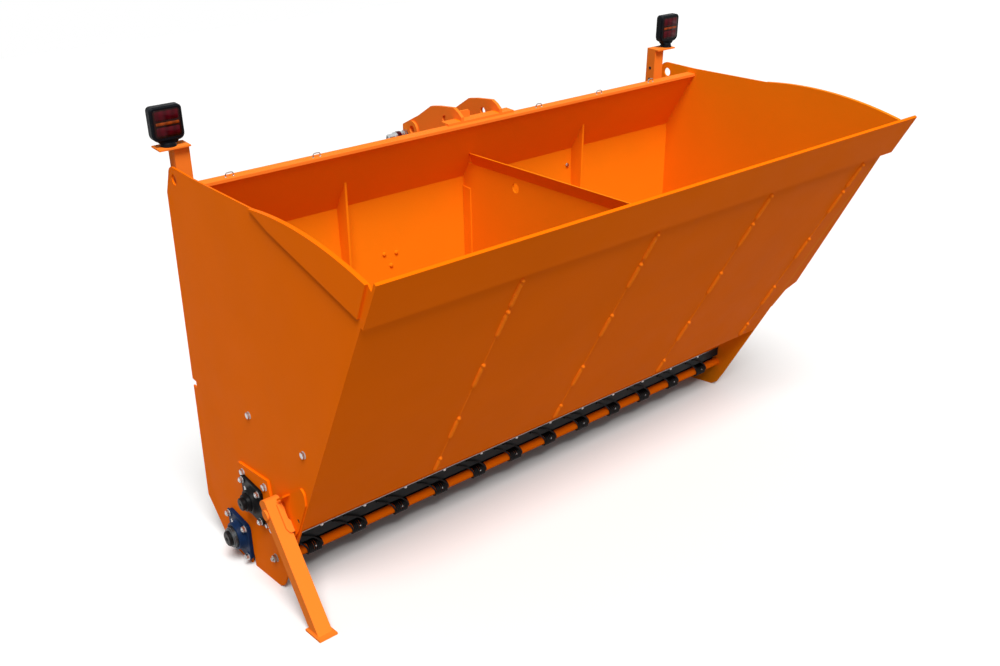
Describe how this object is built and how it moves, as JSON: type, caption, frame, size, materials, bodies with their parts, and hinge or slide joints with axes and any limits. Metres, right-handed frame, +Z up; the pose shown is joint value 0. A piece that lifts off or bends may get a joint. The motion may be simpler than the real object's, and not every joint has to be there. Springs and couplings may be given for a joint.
{
  "type": "sand spreader with roller and front gate, mounted",
  "caption": "Orange sheet-steel sand spreader with an open hopper, a spreading roller, a spring-loaded rubber gate, two lamps and a parking leg.",
  "frame": {"origin": "middle of the bounding box, on the ground under the parked spreader", "axes": "+X to the right end plate seen from the front wall, +Y towards the tractor, +Z up; the machine leans 10 degrees forward as it stands on its end plates and leg"},
  "size_m": [2.338, 1.496, 1.6159],
  "materials": {
    "orange_paint": "orange gloss paint on sheet steel",
    "blue_casting": "blue paint on cast iron",
    "black_steel": "black coat on steel",
    "bright_steel": "zinc plated and turned steel",
    "rubber": "plain black rubber",
    "lamp_plastic": "moulded black plastic",
    "lens": "dark red lens with an amber bar"
  },
  "bodies": {
    "hopper": {"agitator_bearing": "black_steel", "back_rib_left": "orange_paint", "back_rib_right": "orange_paint", "back_wall": "orange_paint", "carrier_plate": "orange_paint", "coupler_ear_left": "orange_paint", "coupler_ear_right": "orange_paint", "drive_cover": "orange_paint", "end_doubler_left": "orange_paint", "end_doubler_right": "orange_paint", "end_plate_left": "orange_paint", "end_plate_right": "orange_paint", "front_guard": "orange_paint", "front_lip": "orange_paint", "front_wall": "orange_paint", "gate_bar": "black_steel", "gate_springs": "black_steel", "gate_strip": "rubber", "hose_couplings": "bright_steel", "hydraulic_motor": "black_steel", "lamp_left": "lamp_plastic", "lamp_lens_left": "lens", "lamp_lens_right": "lens", "lamp_post_left": "orange_paint", "lamp_post_right": "orange_paint", "lamp_right": "lamp_plastic", "leg_bracket": "orange_paint", "leg_pivot": "orange_paint", "link_cheek_left": "orange_paint", "link_cheek_right": "orange_paint", "link_pin_left": "bright_steel", "link_pin_right": "bright_steel", "lower_beam": "orange_paint", "mast_beam_left": "orange_paint", "mast_beam_right": "orange_paint", "partition": "orange_paint", "roller_bearing": "blue_casting", "saddle": "orange_paint", "spring_pipe": "orange_paint", "top_rim": "orange_paint", "upper_beam": "orange_paint"},
    "spreading_roller": {"spreading_roller": "orange_paint"},
    "agitator": {"agitator": "bright_steel"},
    "parking_leg": {"parking_leg": "orange_paint"}
  },
  "joints": [
    {"name": "roller_spin", "type": "hinge", "parent": "hopper", "child": "spreading_roller", "pos_m": [0, 0.44709, 0.11053], "axis": [1, 0, 0], "continuous": true},
    {"name": "agitator_spin", "type": "hinge", "parent": "hopper", "child": "agitator", "pos_m": [0, 0.24964, 0.32044], "axis": [1, 0, 0], "continuous": true},
    {"name": "leg_fold", "type": "hinge", "parent": "hopper", "child": "parking_leg", "pos_m": [-1.137, 0.03914, 0.36252], "axis": [1, 0, 0], "range_deg": [-52.7, 0]}
  ]
}
